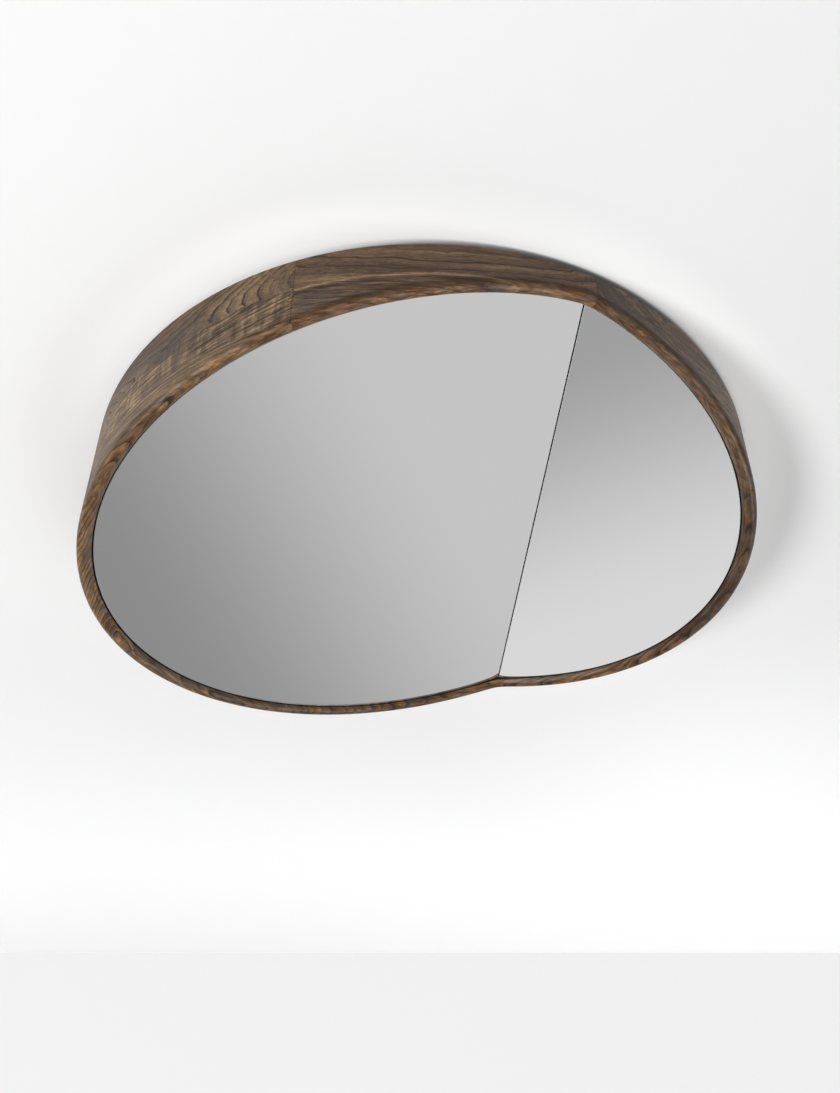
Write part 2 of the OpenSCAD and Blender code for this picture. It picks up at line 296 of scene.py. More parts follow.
blocks = [
    dict(seed=3.1, tint=(1.02, 0.98, 0.92, 1), light=-0.02, ripple=0.1, sap=0.30, band=1.1,
         nose=(1.20, 0.94, 0.50, 1), oval=0.8, grain=[
             (612, -150, 0.0, 0.0, 11.0, 0.15, 1.0, 0.35, 2.5),
             (612, -150, 0.0, 0.0, 7.0, 0.4, 0.7, 1.0, 2.5),
             (612, -150, 0.0, 0.0, 7.0, 0.4, 0.7, 1.0, 2.5)],
         stains=[(150, 78, 22, 16, 0.0, 0.6)]),
    dict(seed=11.7, tint=(0.99, 1.0, 0.92, 1), light=0.04, ripple=0.9, sap=0.0, band=0.3,
         nose=(1.26, 1.02, 0.62, 1), oval=0.70, grain=[
             (366, 52, 0.0, 0.10, 4.4, 0.3, 1.8, 0.35, 0.7),
             (640, -150, 0.0, 0.0, 6.0, 0.1, 1.0, 1.6, 1.5),
             (470, -60, 0.0, 0.0, 6.0, 0.2, 1.0, 1.4, 2.0)],
         stains=[(20, 40, 55, 20, 0.35, 0.7), (95, 20, 40, 18, 0.3, 0.5), (-60, 50, 24, 9, 0.0, 0.6)]),
    dict(seed=23.4, tint=(0.98, 1.0, 0.90, 1), light=0.05, ripple=0.5, sap=0.0, band=0.0,
         nose=(1.32, 1.08, 0.66, 1), oval=0.3, grain=[
             (600, -150, 0.0, 0.05, 5.5, 0.3, 0.6, 0.8, 3.0),
             (600, -150, 0.0, 0.05, 5.5, 0.2, 0.6, 1.2, 3.0),
             (300, 200, 0.50, 0.30, 5.5, 0.1, 1.8, 1.8, 3.0)],
         stains=[]),
    dict(seed=37.9, tint=(1.0, 1.0, 1.0, 1), light=0.02, ripple=0.3, sap=0.0, band=0.0,
         nose=(1.14, 0.90, 0.46, 1), oval=0.6, grain=[
             (340, 60, 0.1, 0.1, 5.0, 0.3, 0.9, 0.8, 4.0),
             (360, 80, 0.3, 0.2, 5.0, 0.3, 1.1, 1.2, 4.0),
             (360, 200, 0.4, 0.2, 5.0, 0.2, 1.4, 1.5, 4.0)],
         stains=[]),
    dict(seed=41.2, tint=(1.03, 1.03, 1.02, 1), light=0.05, ripple=0.3, sap=0.0, band=0.0,
         nose=(0.96, 0.72, 0.34, 1), oval=0.8, grain=[
             (580, -120, 0.04, 0.1, 5.5, 0.2, 0.8, 1.0, 3.0),
             (580, -100, 0.04, 0.1, 5.5, 0.2, 1.5, 1.1, 4.0),
             (580, -100, 0.04, 0.1, 5.5, 0.2, 1.5, 1.1, 4.0)],
         stains=[]),
    dict(seed=56.8, tint=(1.0, 0.99, 0.96, 1), light=0.0, ripple=0.2, sap=0.0, band=0.0,
         nose=(1.02, 0.76, 0.36, 1), oval=0.5,
         grain=[(450, -90, 0.0, 0.05, 5.0, 0.2, 2.0, 0.9, 6.0)] * 3, stains=[]),
    dict(seed=63.5, tint=(1.0, 0.98, 0.94, 1), light=-0.02, ripple=0.2, sap=0.0, band=0.5,
         nose=(0.72, 0.52, 0.22, 1), oval=0.5,
         grain=[(455, -90, 0.0, 0.05, 5.0, 0.2, 1.9, 0.9, 6.0)] * 3, stains=[]),
    dict(seed=72.6, tint=(0.98, 0.98, 0.93, 1), light=-0.03, ripple=0.15, sap=0.0, band=1.1,
         nose=(0.92, 0.69, 0.32, 1), oval=0.8, grain=[
             (640, -40, 0.0, 0.1, 5.0, 0.2, 0.6, 1.1, 3.0),
             (640, -40, 0.0, 0.1, 7.0, 0.2, 0.6, 0.8, 3.0),
             (640, -40, 0.0, 0.1, 7.0, 0.2, 0.6, 0.8, 3.0)],
         stains=[(145, 24, 50, 26, 0.45, 1.0)]),
]


def walnut(number, look):
    # Growth rings are the distance from a pith line, with drift and waves, divided by the ring width.
    # One tone adds up rings, streaks and bands, and a ramp turns it into colour. Sizes are millimetres.
    middle = math.radians(ring["firstJoint"] + (number - 0.5) * ring["turn"])
    drop, off = ring["centreDrop"] * 1000, ring["standoff"] * 1000
    tones = walnutTones
    material, pen, surface = newMaterial(f"walnut_{number}", Coat_Roughness=tones["coatRough"],
                                         Specular_IOR_Level=0.22)
    place = pen.node("ShaderNodeMapping", (), {
        "Vector": objectPlace(pen), "Rotation": (0, middle, 0), "Scale": (1000, -1000, 1000),
        "Location": (drop * math.sin(middle), -off, drop * math.cos(middle))})
    radial, depth, along = place.xyz()
    second = depth > tones["layer"]
    third = depth > 2 * tones["layer"]
    layerNumber = second + third
    edge = mark(pen, "edge")
    nose = edge.rise(0.5, 7.1)

    def byLayer(column):
        a, b, c = (row[grainColumns.index(column)] for row in look["grain"])
        if a == b == c:
            return a
        return a + second * (b - a) + third * (c - b)

    own = place.joined(radial + look["seed"] * 10, depth + layerNumber * 70, along + look["seed"] * 31)
    waves = own.sized(45, 45, 120).noise(2.0) - 0.5
    small = own.sized(11, 11, 30).noise(2.0) - 0.5
    fromPith = radial - byLayer("pith") - along * byLayer("driftOut")
    inDepth = depth - byLayer("pithDepth") - along * byLayer("driftForward")
    rings = (fromPith * fromPith + inDepth * inDepth).root()
    rings = rings + waves * (byLayer("waves") * 4) + small * 3.0
    count = rings / byLayer("width")
    count = count + (count * 0.21 + look["seed"]).grey().noise(1.0) * 2.0
    part = count.fract()
    luck = count.floor().chance(look["seed"])
    late = part.rise(0.20, 0.97) * (1 - part.rise(0.975, 1.0))
    line = part.rise(0.78, 0.90) * (1 - part.rise(0.95, 1.0)) * luck.rise(0.0, 0.6)

    # Fibres follow the rings, so they bend with the waves. Strands are the longer dark ones.
    flow = place.joined(rings, inDepth * 0.4 + layerNumber * 70, along)
    fibre = flow.sized(2.6, 2.6, 60).noise(3.0, 0.6)
    streak = fibre.rise(0.34, 0.66) - 0.5
    fine = flow.sized(0.9, 0.9, 20).noise(2.0, 0.6) - 0.5
    strands = flow.sized(3.2, 3.2, 80).shifted(1.3, 6.2, 3.1).noise(2.0).rise(0.54, 0.62)
    pores = flow.sized(0.8, 0.8, 9).shifted(7.3, 1.9, 4.2).noise(1.0).rise(0.60, 0.70)
    bands = flow.sized(13, 80, 200).noise(2.0, 0.6) - 0.5
    cloud = own.sized(26, 26, 70).shifted(3.7, 8.1, 5.5).noise(3.0, 0.6, 0.6)
    ripple = own.sized(60, 34, 7).noise(1.0, 0.5, 0.4) - 0.5

    marked = (streak * tones["streak"] - strands * tones["strand"]) * byLayer("streaks")
    tone = tones["base"] + look["light"] + marked + fine * tones["fine"] + bands * tones["bands"]
    tone = tone + ripple * (tones["ripple"] * look["ripple"]) * (0.15 + (second - third) * 0.85)

    # On the rounding the figure runs along the rim, by the distance from the ring's centre
    around = (radial * radial + along * along).root() + waves * 14
    bent = place.joined(around, depth + waves * 14 + layerNumber * 70, along + look["seed"] * 31)
    oval = bent.sized(5.0, 5.0, 130).noise(3.0, 0.6)
    thread = bent.sized(2.4, 2.4, 80).noise(2.0, 0.6) - 0.5
    alongRim = 0.47 + (oval.rise(0.30, 0.70) - 0.5) * 0.36 + thread * 1.3
    tone = tone + nose * look["oval"] * (alongRim - tone)

    tone = tone - late * byLayer("lines") * (0.07 + nose * 0.09) - line * byLayer("lines") * 0.30
    if look["sap"]:
        top = tones["layer"] + waves * 6.0
        tone = tone + depth.near(top, 2.8) * look["sap"]
        tone = tone - depth.near(top + 7.0, 5.0) * 0.20
    stops = [(at, paint(*shade)[:3]) for at, shade in tones["ramp"]]
    colour = pen.node("ShaderNodeValToRGB", {"stops": stops}, {0: tone})
    smoky = cloud.rise(0.44, 0.66) * byLayer("smoke")
    for u, d, reachU, reachD, lean, strength in look["stains"]:
        x, y = (along - u) / reachU, (depth - d + (along - u) * lean) / reachD
        patch = 1 - (x * x + y * y + waves * 2.4 + small * 1.6).rise(0.3, 1.1)
        smoky = smoky.atLeast(patch * (0.55 + fibre * 0.5) * strength)
    colour = (smoky * 0.85).mix(colour, tones["smoke"])
    colour = (pores * 0.6).mix(colour, tones["pore"])
    # Painted light and shade on the rounding: its tint is warmer for the light it gets, and darker on
    # the blocks away from the key lamp
    colour = nose.mix(colour, colour.tinted(look["nose"])).tinted(look["tint"])
    # Painted shade: a dark band where the rounding starts, broken up by the threads and fibres
    if look["band"]:
        dark = edge.near(3.0, 9.0) * (0.1 + thread * 1.8 + fibre * 0.9) * look["band"]
        colour = pen.math("MINIMUM", dark.rise(0.0, 1.0), 0.85).mix(colour, tones["band"])
    seam = 1 - mark(pen, "joint").rise(0.1, 0.6)
    glue = depth.near(tones["layer"], 0.5) * 0.4 + depth.near(2 * tones["layer"], 0.5) * 0.4
    colour = (seam * 0.6 + glue * (1 - nose)).mix(colour, tones["glue"])
    rebate = edge.rise(27.3, 28.3)
    colour = rebate.mix(colour, tones["rebate"])
    rough = 0.34 + fibre * 0.26 + pores * 0.15
    shine = own.sized(16, 16, 22).noise(1.0).rise(0.35, 0.65)
    coat = (tones["coatLow"] + nose * (tones["coatNose"] + shine * tones["coatShine"])) * (1 - rebate)
    height = fine * 0.5 + fibre * 0.5 - pores * 0.8 - seam * 0.8
    plug(surface, Base_Color=colour, Roughness=rough, Coat_Weight=coat,
         Normal=relief(height, tones["relief"], 0.7))
    return material


def walnutBlock(number, look):
    # The wall section at each angle: up the outside, half a turn round the nose, down the inside, and
    # the step for the back panel. Carried round the arc of one block. The inside is black beside the
    # pane. Metres. foot: chamfer of the back edge. gap and ease: half of the joint's opening, and its
    # eased edge. below: how far the crest stays under the solid's. nearEdge: rows before the rounding
    # starts. inside: the mark that the inner wall carries.
    size = dict(angles=181, wallRows=7, noseRows=36, innerRows=3, foot=0.0006, gap=0.00004, ease=0.00014,
                below=0.00006, nearEdge=(0.009, 0.006, 0.003), inside=0.030)
    start = ring["firstJoint"] + (number - 1) * ring["turn"]
    inset = math.degrees(size["gap"] / ring["outer"])
    edge = math.degrees(size["ease"] / ring["outer"])
    angles = np.linspace(start + inset, start + ring["turn"] - inset, size["angles"])
    angles = np.concatenate([
        angles[:1], [angles[0] + edge], angles[1:-1], [angles[-1] - edge], angles[-1:]])
    a = np.radians(angles)[:, None]
    outer, inner, foot = ring["outer"], ring["inner"], size["foot"]
    noseR, noseMid = (outer - inner) / 2, (outer + inner) / 2

    def crest(r):
        return crestHeight(r * np.cos(a), r * np.sin(a))

    turn = np.linspace(0, math.pi, size["noseRows"])[None, :]
    noseOut = noseMid + noseR * np.cos(turn)
    noseHigh = crest(noseOut) - size["below"] - noseR * (1 - np.sin(turn))
    nearEdge = np.array(size["nearEdge"])[None, :]
    rise = np.linspace(0, 1, size["wallRows"], endpoint=False)[None, :]
    wallHigh = foot + (noseHigh[:, :1] - nearEdge[0, 0] - foot) * rise
    wallHigh = np.concatenate([wallHigh, noseHigh[:, :1] - nearEdge], axis=1)
    fall = np.linspace(1, 0, size["innerRows"] + 1)[None, 1:]
    innerHigh = ring["panelDepth"] + (noseHigh[:, -1:] - ring["panelDepth"]) * fall
    step = inner + ring["panelStep"]
    rows = len(angles)
    r = np.concatenate([
        np.full((rows, 1), outer - foot), np.full((rows, wallHigh.shape[1]), outer),
        np.repeat(noseOut, rows, 0), np.full((rows, fall.size), inner),
        np.full((rows, 2), step)], axis=1)
    high = np.concatenate([
        np.zeros((rows, 1)), wallHigh, noseHigh, innerHigh,
        np.full((rows, 1), ring["panelDepth"]), np.zeros((rows, 1))], axis=1)
    # The two end loops shrink a little towards the section's inside, which eases the joint's edges
    along = np.stack([np.roll(r, -1, 1) - np.roll(r, 1, 1), np.roll(high, -1, 1) - np.roll(high, 1, 1)])
    along = along / np.hypot(*along)
    ends = np.zeros((rows, 1))
    ends[0] = ends[-1] = size["ease"]
    r = r - along[1] * ends
    high = high + along[0] * ends
    loops = hung(r * np.cos(a), r * np.sin(a), high)[None]
    # Millimetres round the section from where the rounding starts, held at -9 before it, at 30 on the
    # inner wall and at -9 again on the step
    past = np.concatenate([
        np.full(1 + rise.size, -nearEdge[0, 0]), -nearEdge[0], turn[0] * noseR,
        np.full(fall.size, size["inside"]), np.full(2, -nearEdge[0, 0])]) * 1000
    away = np.minimum(angles - start, start + ring["turn"] - angles)
    marks = {
        "edge": np.repeat(past[None, :], rows, 0),
        "joint": np.repeat(np.radians(away)[:, None] * outer * 1000, len(past), 1)}
    skin(f"walnut_block_{number}", loops, f"frame_block_{number}", [walnut(number, look)],
         marks=marks)


for number, look in enumerate(blocks, 1):
    walnutBlock(number, look)
print("walnut blocks")


# panes
# Metres. Front and back lie that far below the crest plane, gap is the open joint at the fold, arris the
# ground edge, and border the silver's outermost row.
pane = {
    "radius": 0.4295, "front": 0.008, "back": 0.012, "gap": 0.0015, "arris": 0.0005, "border": 0.0015,
    "steps": {-1: 400, 1: 200},  # points of the arc, on the left and on the right
    "silver": (0.93, 0.93, 0.93, 1), "edge": (0.50, 0.56, 0.54, 1), "ground": (0.62, 0.68, 0.66, 1),
    "paint": paint(96, 99, 101), "palePaint": paint(112, 114, 115),
}


def silverFront(name):
    # A clean mirror, with a very faint unevenness of the polish
    material, pen, surface = newMaterial(name, Metallic=1.0, Base_Color=pane["silver"])
    haze = objectPlace(pen).times(9, 9, 9).noise(2.0)
    plug(surface, Roughness=haze * 0.010 + 0.004)
    return material


def glassEdge(name):
    # Ground edge of float glass: green grey, with fine grinding marks
    material, pen, surface = newMaterial(name, Specular_IOR_Level=0.6)
    marks = objectPlace(pen).times(2500, 2500, 2500).noise(2.0)
    plug(surface, Base_Color=marks.mix(pane["edge"], pane["ground"]), Roughness=0.25 + marks * 0.2)
    return material


def paintedBack(name):
    # Protective paint behind the silver, with a faint roller texture
    material, pen, surface = newMaterial(name)
    roller = objectPlace(pen).times(700, 700, 700).noise(3.0)
    tone = objectPlace(pen).times(14, 14, 14).noise(2.0)
    plug(surface, Base_Color=tone.mix(pane["paint"], pane["palePaint"]), Roughness=0.45 + roller * 0.2,
         Normal=relief(roller, 0.00008))
    return material


paneMaterials = [paintedBack("pane_paint"), glassEdge("pane_edge"), silverFront("pane_silver")]


def mirrorPane(name, side, tilt):
    # Each loop is a circle's arc closed by a chord along the fold: moved inwards by an offset, and set
    # below the crest plane by a depth square to it. Five loops, from the painted back to the silvered
    # front.
    tilt = math.radians(tilt)
    lean = math.radians(ring["lean"])
    meet = pane["front"] * math.tan(math.radians(ring["tiltLeft"] + ring["tiltRight"]) / 2)
    arris, front, back = pane["arris"], pane["front"], pane["back"]
    levels = np.array([(arris, back), (0, back - arris), (0, front + arris), (arris, front),
                       (arris + pane["border"], front)])
    offset, depth = levels[:, :1], levels[:, 1:]
    edge = -(meet - pane["gap"] / 2 - offset) * math.cos(tilt) + depth * math.sin(tilt)
    radius = pane["radius"] - offset
    half = np.arccos((ring["foldOffset"] + side * edge) / radius)
    share = np.linspace(-1, 1, pane["steps"][side])[None, :]
    angle = -lean + (share * half if side > 0 else math.pi + share * (math.pi - half))
    x, up = radius * np.cos(angle), radius * np.sin(angle)
    height = ring["foldDepth"] + side * across(x, up) * math.tan(tilt) - depth / math.cos(tilt)
    skin(f"{name}_pane", hung(x, up, height)[None], name, paneMaterials,
         faceSlots=[0, 0, 1, 1, 2, 2], sharp=10)


mirrorPane("left_mirror", -1, ring["tiltLeft"])
mirrorPane("right_mirror", 1, ring["tiltRight"])
print("panes")


# screws and bumpers
def metal(name, low, high, streaks, rough):
    # Plated or brushed metal: two tones along stretched noise, with fine scratches
    material, pen, surface = newMaterial(name, Metallic=1.0)
    place = objectPlace(pen)
    tone = place.times(160, 160, 160).noise(3.0)
    brush = place.times(*streaks).noise(3.0, 0.6)
    plug(surface, Base_Color=tone.rise(0.3, 0.7).mix(low, high), Roughness=rough + brush * 0.18,
         Normal=relief(brush, 0.00003, 0.6))
    return material


yellowSteel = metal("yellow_steel", paint(196, 164, 84), paint(214, 178, 112), (900, 900, 900), 0.22)
brightSteel = metal("bright_steel", paint(176, 180, 184), paint(206, 208, 210), (900, 900, 900), 0.18)
aluminium = metal("brushed_aluminium", paint(188, 191, 194), paint(205, 207, 208),
                  (25, 2600, 2600), 0.24)

# Metres. Places are on the ring's plan: a circle, rows beside the fold and a row on the hanger bar. back
# is the height of the head's top from the back edge. The face lies a skim under it, inside a bevel and a
# rim.
screws = {
    "panel": dict(headD=0.007, shankD=0.0035, length=0.022, back=0.0),
    "hanger": dict(headD=0.0075, shankD=0.004, length=0.020, back=-0.0028),
    "circle": 0.4365, "besideFold": 0.165, "ribPitch": 0.150, "rowPitch": 0.2,
    "barPitch": 0.060, "barUp": 0.2968,
    "sides": 48, "turns": 24, "threadRise": 0.10, "clear": 0.001, "tip": 0.0003,
    "rim": 0.00025, "bevel": 0.00015, "skim": 0.00002, "faceRings": 9,
    "recess": 0.0016, "slotHalf": 0.00045, "slotSoft": 0.0002, "reach": 0.52, "reachSoft": 0.0003,
}


def crossScrews(name, material, slot, places, headD, shankD, length, back):
    # A profile turned round the screw's axis. The head's face sinks into a cross: depth times the
    # larger of two slots, each 1 inside its half width and 0 outside.
    turn = np.linspace(0, 2 * math.pi, screws["sides"], endpoint=False)
    head, shank = headD / 2, shankD / 2
    cone = head - shank
    threads = np.linspace(cone + screws["clear"], length - shankD, screws["turns"])
    rise = screws["threadRise"]
    wave = shank * (1 - rise + rise * np.cos(np.arange(screws["turns"]) * math.pi))
    face = head * np.linspace(0.9, 0.06, screws["faceRings"])
    radii = np.concatenate([[screws["tip"]], wave[::-1], [shank, head, head - screws["bevel"]], face])
    deep = np.concatenate([[length], threads[::-1], [cone, screws["rim"], screws["skim"]],
                           np.full(face.size, screws["skim"])])
    x, y = radii[:, None] * np.cos(turn), radii[:, None] * np.sin(turn)
    inside = np.clip((head * screws["reach"] - np.hypot(x, y)) / screws["reachSoft"], 0, 1)
    slots = [np.clip((screws["slotHalf"] - abs(off)) / screws["slotSoft"] + 0.5, 0, 1) for off in (x, y)]
    onFace = (np.arange(radii.size) >= radii.size - face.size)[:, None]
    deep = deep[:, None] + onFace * inside * np.maximum(*slots) * screws["recess"]
    places = np.asarray(places)[:, :, None, None]
    height = back + np.broadcast_to(deep, x.shape) + 0 * places[:, 0]
    loops = hung(places[:, 0] + x, places[:, 1] + y, height)
    skin(f"{name}_cross", loops, name, [material], sharp=35)


def foldPlace(side, far, up):
    # A point beside the fold line, turned into the plan
    lean = math.radians(ring["lean"])
    x = ring["foldOffset"] + side * far
    return (x * math.cos(lean) + up * math.sin(lean), up * math.cos(lean) - x * math.sin(lean))


ringScrews = [math.radians(ring["firstJoint"] + (n + part) * ring["turn"])
              for n in range(ring["blocks"]) for part in (0.25, 0.75)]
panelScrews = [(screws["circle"] * math.cos(a), screws["circle"] * math.sin(a)) for a in ringScrews]
panelScrews += [foldPlace(side, screws["besideFold"] + screws["ribPitch"] * i, row * screws["rowPitch"])
                for side, count in ((-1, 3), (1, 1)) for row in (-1, 0, 1) for i in range(count)]
crossScrews("panel_screws", yellowSteel, "yellow_steel", panelScrews, **screws["panel"])
barScrews = [(i * screws["barPitch"], screws["barUp"]) for i in (-1.5, -0.5, 0.5, 1.5)]
crossScrews("hanger_screws", brightSteel, "bright_steel", barScrews, **screws["hanger"])


# Metres, with the angles in degrees. The dish is rings across the face: share of the radius, and depth.
bumper = {
    "radius": 0.009, "height": ring["standoff"], "edge": 0.0018, "bevel": 0.0003, "ringRadius": 0.400,
    "angles": (-130, -50), "sides": 72,
    "dish": [(0.62, 0), (0.52, 0.0004), (0.40, 0.0011), (0.16, 0.0013), (0.02, 0.0013)],
    "black": (0.018, 0.018, 0.019, 1), "dust": (0.08, 0.078, 0.074, 1),
}


def rubber(name):
    # Matt black rubber with a fine moulded grain and a little dust
    material, pen, surface = newMaterial(name, Roughness=0.7)
    grain = objectPlace(pen).times(1800, 1800, 1800).noise(2.0)
    dust = objectPlace(pen).times(120, 120, 120).noise(3.0).rise(0.45, 0.8)
    plug(surface, Base_Color=(dust * 0.35).mix(bumper["black"], bumper["dust"]),
         Normal=relief(grain, 0.00008))
    return material


def bumpers():
    # A turned profile: flat against the frame, a straight side, a rounded edge and a dished face
    radius, height, edge, bevel = (bumper[k] for k in ("radius", "height", "edge", "bevel"))
    turn = np.linspace(0, 2 * math.pi, bumper["sides"], endpoint=False)
    bend = np.linspace(0, math.pi / 2, 9)
    share, sunk = np.array(bumper["dish"]).T
    radii = np.concatenate([
        [radius - bevel, radius], radius - edge * (1 - np.cos(bend)), radius * share])
    out = np.concatenate([[0, bevel], height - edge * (1 - np.sin(bend)), height - sunk])
    spots = np.radians(bumper["angles"])[:, None, None]
    x = bumper["ringRadius"] * np.cos(spots) + radii[:, None] * np.cos(turn)
    up = bumper["ringRadius"] * np.sin(spots) + radii[:, None] * np.sin(turn)
    loops = hung(x, up, -out[:, None] + 0 * x)
    skin("wall_bumpers_round", loops, "wall_bumpers", [rubber("bumper_rubber")],
         sharp=40)


bumpers()
print("screws and bumpers")


# materials of the hidden carcass
# Pairs are the pale and the dark colour. Ring widths and the plywood's layers are millimetres.
carcass = {
    "pine": (paint(222, 188, 136), paint(176, 130, 82)), "pineRings": 4.5, "knots": 0.8,
    "knot": paint(104, 66, 38), "beech": (paint(214, 170, 126), paint(180, 128, 86)), "beechRings": 2.4,
    "birch": (paint(224, 200, 164), paint(188, 154, 112)), "layer": 2.4,
    "birchEdge": (paint(216, 190, 150), paint(150, 116, 80)),
    "board": ((0.016, 0.014, 0.013, 1), (0.030, 0.027, 0.025, 1)),
    "foam": (paint(206, 206, 200), paint(232, 232, 228)),
}


def plainWood(name, tones, stretch, ringWidth, knots=0.0):
    # Straight-grained timber: rings across the stretched noise, fibres and a few knots
    material, pen, surface = newMaterial(name)
    place = objectPlace(pen).times(1000, 1000, 1000)
    long = place.times(*stretch)
    swing = long.sized(60, 60, 60).noise(2.0)
    x, y, z = long.xyz()
    count = (x * 0.6 + y + z * 0.8 + swing * 60) / ringWidth
    part = count.fract()
    late = part.rise(0.3, 0.95) * (1 - part.rise(0.96, 1.0))
    fibre = long.sized(0.9, 0.9, 0.9).noise(3.0, 0.6)
    colour = (late * 0.55 + fibre * 0.25).mix(*tones)
    if knots:
        spots = place.node("ShaderNodeTexVoronoi", (), {"Vector": place, "Scale": 0.009})
        colour = ((1 - spots.rise(0.02, 0.10)) * knots).mix(colour, carcass["knot"])
    plug(surface, Base_Color=colour, Roughness=0.55 + fibre * 0.15, Normal=relief(fibre, 0.0002, 0.6))
    return material


def plywood(name):
    # Birch faces with a broad flowing figure, and thin crossed layers on the edges
    material, pen, surface = newMaterial(name)
    place = objectPlace(pen).times(1000, 1000, 1000)
    flow = place.sized(70, 100, 330).noise(2.0, 0.5)
    figure = (flow * 16).fract()
    line = figure.rise(0.55, 0.95) * (1 - figure.rise(0.96, 1.0))
    fibre = place.sized(1.3, 1.3, 45).noise(3.0, 0.6)
    face = (line * 0.32 + fibre * 0.40).mix(*carcass["birch"])
    facing = abs(pen.node("ShaderNodeNewGeometry", (), (), "True Normal").xyz()[1])
    layers = (place.xyz()[1] / carcass["layer"]).fract() > 0.5
    edges = (layers * 0.6 + fibre * 0.3).mix(*carcass["birchEdge"])
    plug(surface, Base_Color=facing.rise(0.4, 0.6).mix(edges, face), Roughness=0.5 + fibre * 0.15,
         Normal=relief(fibre, 0.00015, 0.5))
    return material


def blackBoard(name):
    # Board with black paint from a roller
    material, pen, surface = newMaterial(name)
    roller = objectPlace(pen).times(600, 600, 600).noise(3.0, 0.6)
    tone = objectPlace(pen).times(12, 12, 12).noise(3.0)
    plug(surface, Base_Color=tone.mix(*carcass["board"]), Roughness=0.55 + roller * 0.25,
         Normal=relief(roller, 0.00015))
    return material


def foam(name):
    # Closed-cell foam: small cells as relief and faint mottling
    material, pen, surface = newMaterial(name, Roughness=0.85)
    place = objectPlace(pen).times(1400, 1400, 1400)
    cells = place.node("ShaderNodeTexVoronoi", (), {"Vector": place, "Scale": 1.0})
    plug(surface, Base_Color=cells.mix(*carcass["foam"]), Normal=relief(cells, 0.0002))
    return material


pineRings, knots = carcass["pineRings"], carcass["knots"]
pine = plainWood("softwood", carcass["pine"], (0.05, 1, 1), pineRings, knots)
pineUp = plainWood("softwood_upright", carcass["pine"], (1, 1, 0.05), pineRings, knots)
beech = plainWood("beech", carcass["beech"], (0.2, 1, 1), carcass["beechRings"])
dressed = {
    "loose_tenons": beech, "back_panel": plywood("plywood"), "fold_batten": pineUp, "hanger_block": pine,
    "left_board": blackBoard("painted_board"), "left_tape": foam("foam_tape"),
    "hanger_bar": aluminium, "wall_bar": aluminium, "board_screws": yellowSteel,
}
dressed.update(right_board=dressed["left_board"], right_tape=dressed["left_tape"])
for side in ("left", "right"):
    for row in ("top", "middle", "bottom"):
        dressed[f"{side}_rib_{row}"] = pine
for node, material in dressed.items():
    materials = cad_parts[node].data.materials
    materials.clear()
    materials.append(material)
print("carcass materials")


# wall, floor, lights and camera
studio = {
    "wall": 0.80, "floor": 0.60, "mottle": 0.005, "halfWidth": 6, "wallTop": 5, "floorFront": -6,
    "floorHeight": -2.08, "floorGlow": 1.0, "floorShare": 0.8,
    # Distance from the mirror's centre out to which the wall lets the first bounce of light through
    "open": 0.47,
    # The wall's faint glow. Each row below is a direction from the mirror's centre, across and up, how
    # narrow the sector round it is, and its strength there. Each band is a middle and a width.
    "glow": 0.050, "rightGlow": (0.69, 0.72, 2, 0.125), "leftGlow": (-0.64, 0.77, 4, 0.20),
    "sideGlow": (0.95, -0.31, 1, 0.10), "rimBand": (0.455, 0.08), "sideBand": (0.44, 0.22),
    # The glow starts just outside the frame, and a little earlier towards the left, by that sector
    "glowStarts": (0.443, 0.456), "startsEarlier": (-0.927, 0.375, 1, 0.026),
    # Shade on the strip of wall that shows under the frame's back edge, and where it ends
    "stripShade": (0.574, 0.819, 6, 0.9), "stripEnds": (0.446, 0.4505),
    # More glow low on the wall, growing to the right, and a round pool of it, painted light that lifts
    # the lamp's cast shadow on the right: its place and reach
    "lowGlow": 0.206, "lowFrom": (0.3, 1.4), "lowAcross": (-1.1, 1.1),
    "poolGlow": 0.12, "pool": (0.65, -0.60, 0.70),
    # Soft light from the world: a low level, one broad lobe in a direction, and a level from behind
    "fillLow": 0.06, "fillLobe": 2.75, "fillSharp": 8, "fillToward": (0.301, -0.943, -0.140),
    "fillBehind": 0.95, "cool": (0.91, 0.97, 1.02, 1), "lampAim": (0, -0.084, -ring["centreDrop"]),
    "lamps": {
        # towards the lamp, how far away, width and height, power, and whether it gives highlights only
        "key": ((-0.641, -0.656, 0.400), 7.0, (2.4, 2.4), 340.0, False),
        "edge": ((0.56, -0.78, -0.22), 4.0, (0.7, 2.2), 50.0, True),
    },
    "cameraAim": (-0.0015, -0.010, -0.3524), "cameraAway": 1.7284, "cameraPitch": 51.18,
    "lens": 38.34, "sensor": 36,
    # What the panes see: the way each ramp runs, where it starts and ends, and its two levels
    "leftSees": ((0.9779, -0.0821, 0.1921), -0.113, 0.200, 0.2573, 0.5534),
    "rightSees": ((0.6015, 0.3899, -0.6973), 0.003, 0.251, 0.3418, 0.6833),
}


def plane(name, corners, material):
    mesh = bpy.data.meshes.new(name)
    mesh.from_pydata(corners, [], [(0, 1, 2, 3)])
    mesh.materials.append(material)
    made = bpy.data.objects.new(name, mesh)
    bpy.context.scene.collection.objects.link(made)
    return made


